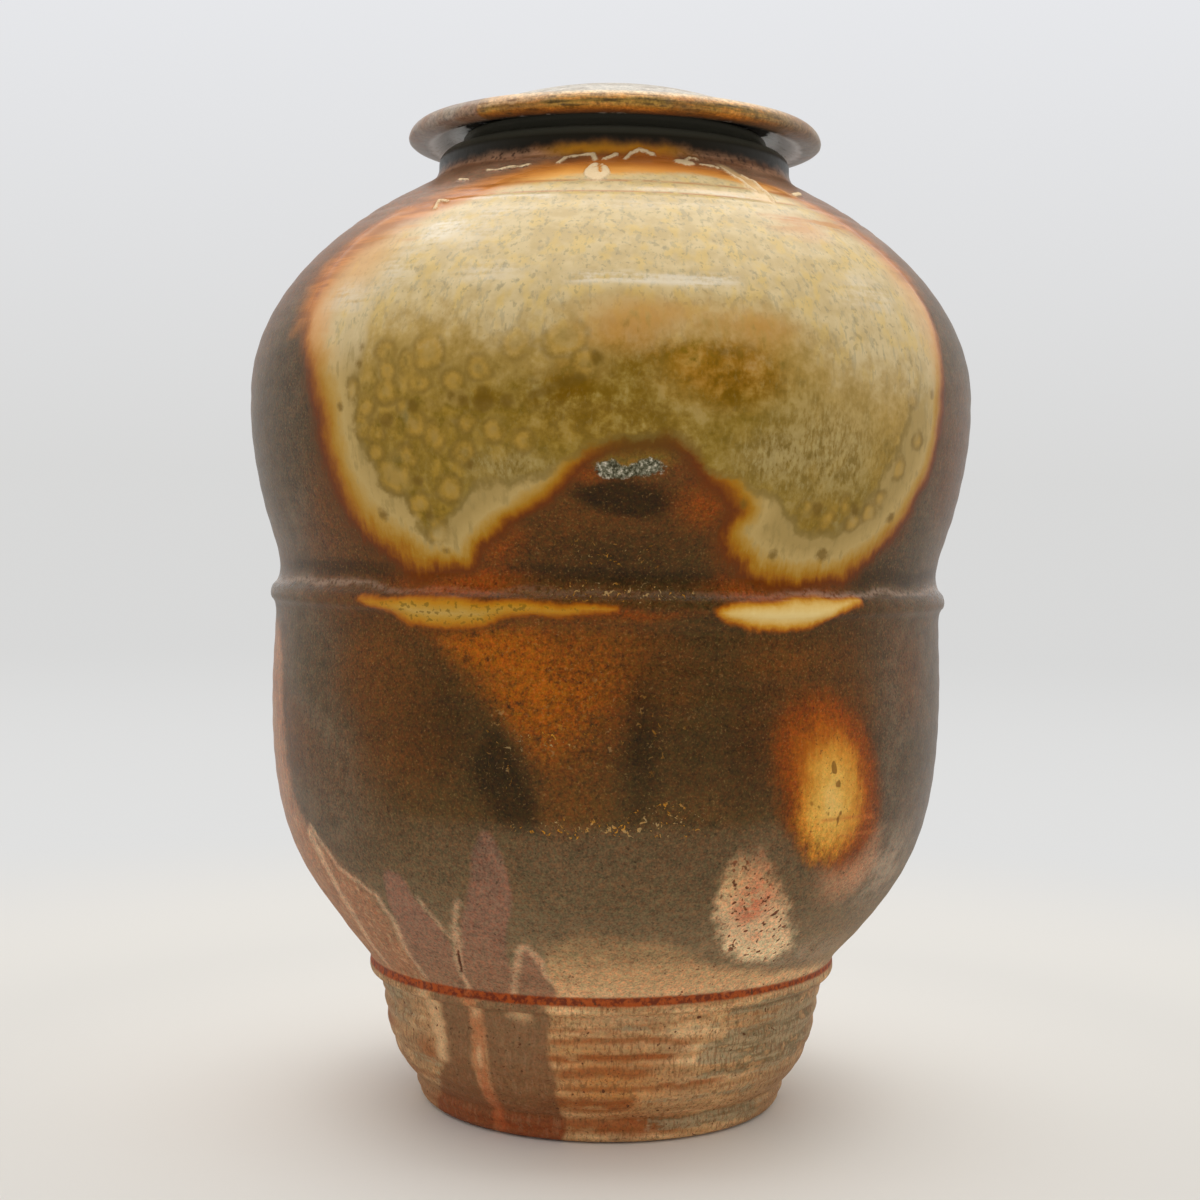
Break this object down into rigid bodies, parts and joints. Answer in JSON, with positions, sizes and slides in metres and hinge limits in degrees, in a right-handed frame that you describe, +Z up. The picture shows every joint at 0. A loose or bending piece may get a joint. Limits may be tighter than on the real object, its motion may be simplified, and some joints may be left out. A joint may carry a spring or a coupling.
{
  "type": "lidded jar",
  "caption": "Tall wood-fired stoneware storage jar with a waisted body, a ledged foot and a loose domed lid that lifts straight off its mouth.",
  "frame": {"origin": "on the jar's vertical axis, at the surface that its foot stands on", "axes": "+Z up along the axis of the jar and lid; -Y is the side with the large ash-glazed patch"},
  "size_m": [0.2842, 0.2842, 0.401],
  "materials": {
    "ash_glazed_stoneware": "wood-fired stoneware with natural ash glaze",
    "flashed_stoneware": "flashed stoneware with a thin ash glaze on its edge"
  },
  "bodies": {
    "jar": {"jar": "ash_glazed_stoneware"},
    "lid": {"lid": "flashed_stoneware"}
  },
  "joints": [
    {"name": "lid_lift", "type": "slide", "parent": "jar", "child": "lid", "axis": [0, 0, 1], "range_m": [0, 0.12]}
  ]
}
